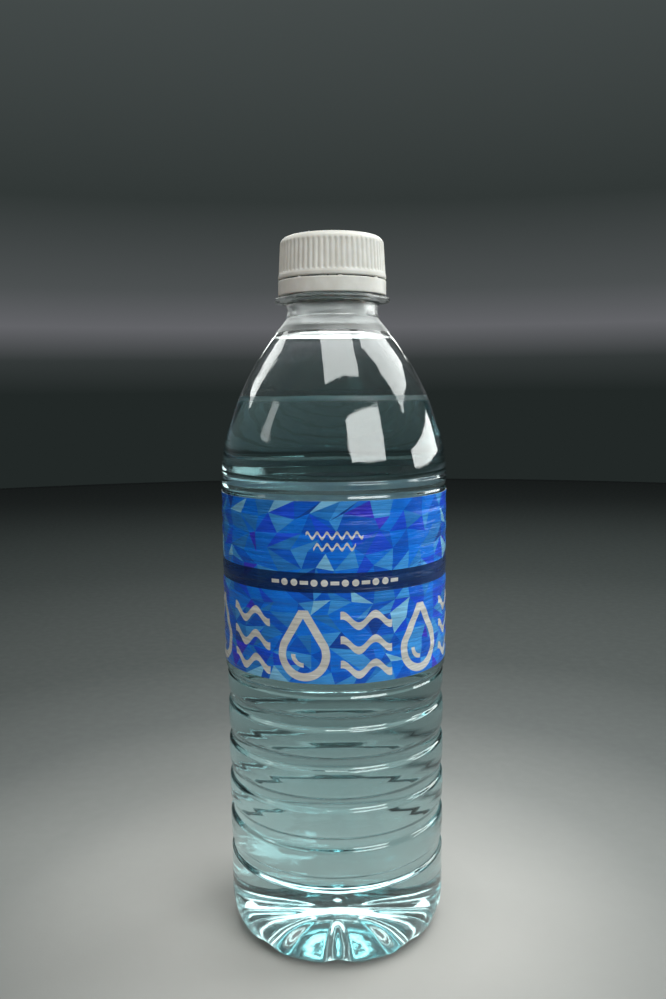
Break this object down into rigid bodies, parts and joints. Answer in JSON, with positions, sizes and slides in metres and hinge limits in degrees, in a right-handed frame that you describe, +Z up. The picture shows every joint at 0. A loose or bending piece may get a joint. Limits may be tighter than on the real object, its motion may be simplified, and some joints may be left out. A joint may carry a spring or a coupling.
{
  "type": "water bottle",
  "caption": "Clear rigid plastic water bottle with an ogive shoulder, hooped walls, blue wrap label, knurled white screw cap and tamper band, partly filled.",
  "frame": {"origin": "centre of the standing ring, on the surface that the bottle stands on", "axes": "+Z up along the bottle's axis to the cap; -Y is the front, where the label's artwork is centred; +X to the right of that front"},
  "size_m": [0.066, 0.066, 0.2032],
  "materials": {
    "clear_pet": "gloss",
    "white_cap": "satin",
    "liner_foam": "matte",
    "label_film": "satin",
    "water": "gloss"
  },
  "bodies": {
    "bottle": {"bottle": "clear_pet", "label": "label_film", "water": "water"},
    "liner": {"cap_liner": "liner_foam"},
    "cap": {"cap_shell": "white_cap"},
    "band": {"tamper_band": "white_cap"}
  },
  "joints": [
    {"name": "cap_lift", "type": "slide", "parent": "bottle", "child": "liner", "axis": [0, 0, 1], "range_m": [0, 0.019]},
    {"name": "cap_turn", "type": "hinge", "parent": "liner", "child": "cap", "pos_m": [0, 0, 0.2], "axis": [0, 0, 1], "range_deg": [0, 2520]},
    {"name": "band_turn", "type": "hinge", "parent": "bottle", "child": "band", "pos_m": [0, 0, 0.1885], "axis": [0, 0, 1], "continuous": true}
  ],
  "couplings": [
    {"joint": "cap_lift", "follows": "cap_turn", "m_per_rad": 0.00042972}
  ]
}
